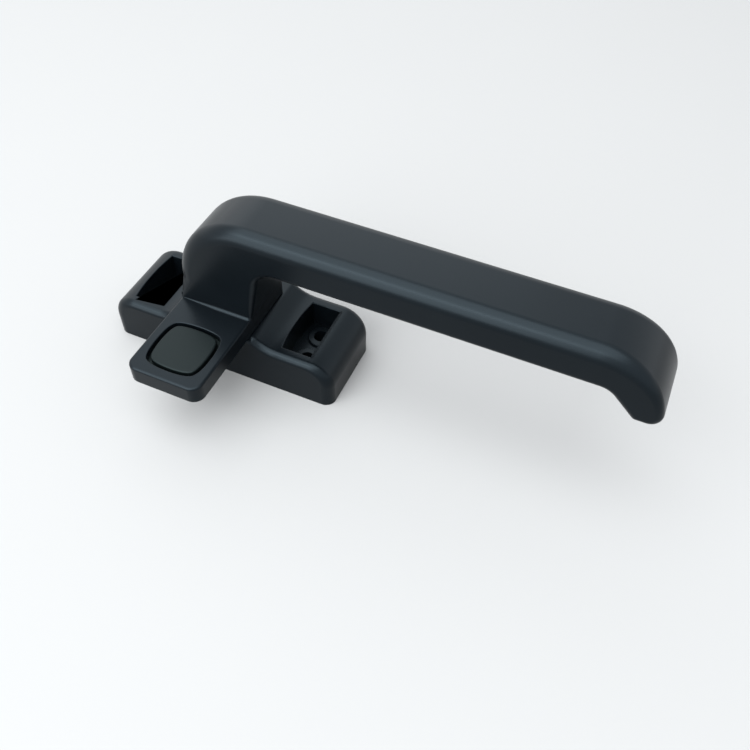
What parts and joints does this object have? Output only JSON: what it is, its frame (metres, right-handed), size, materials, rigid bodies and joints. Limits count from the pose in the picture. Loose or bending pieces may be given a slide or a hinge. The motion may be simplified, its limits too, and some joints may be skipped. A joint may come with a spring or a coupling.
{
  "type": "latch handle",
  "caption": "Surface-mounted turn latch handle: screwed base with two recessed lugs, long hooked grip, and a flat tongue with a push button lock.",
  "frame": {"origin": "on the spindle's axis, in the plane of the base's mounting face, midway between the screw holes", "axes": "+X along the base and the closed grip, -Y along the tongue, +Z away from the panel along the spindle"},
  "size_m": [0.1706, 0.0569, 0.0574],
  "materials": {
    "black_nylon": "satin",
    "button_nylon": "satin",
    "sintered_bronze": "satin",
    "steel": "satin",
    "dark_steel": "satin",
    "spring_steel": "satin",
    "stainless": "brushed",
    "white_acetal": "satin",
    "black_rubber": "matte"
  },
  "bodies": {
    "base_body": {"base": "black_nylon", "pivot_bush": "sintered_bronze", "stop_pin": "steel"},
    "handle_body": {"handle": "black_nylon", "spindle": "steel", "spindle_seal": "black_rubber", "grub_screw": "dark_steel", "thrust_washer": "white_acetal", "friction_washer": "white_acetal", "stop_plate": "steel", "disc_spring_a": "spring_steel", "disc_spring_b": "spring_steel", "plain_washer": "steel", "lock_nut": "steel", "nose_plate": "stainless", "nose_screw_l": "dark_steel", "nose_screw_r": "dark_steel", "button_spring": "spring_steel"},
    "button_body": {"button_cap": "button_nylon", "lock_pin": "stainless"}
  },
  "joints": [
    {"name": "handle_turn", "type": "hinge", "parent": "base_body", "child": "handle_body", "pos_m": [0, 0, 0], "axis": [0, 0, 1], "range_deg": [0, 90]},
    {"name": "button_press", "type": "slide", "parent": "handle_body", "child": "button_body", "axis": [0, 0, -1], "range_m": [0, 0.0014], "stiffness_N_per_m": 1500, "springref_m": -0.001, "deforming": ["button_spring"]}
  ]
}
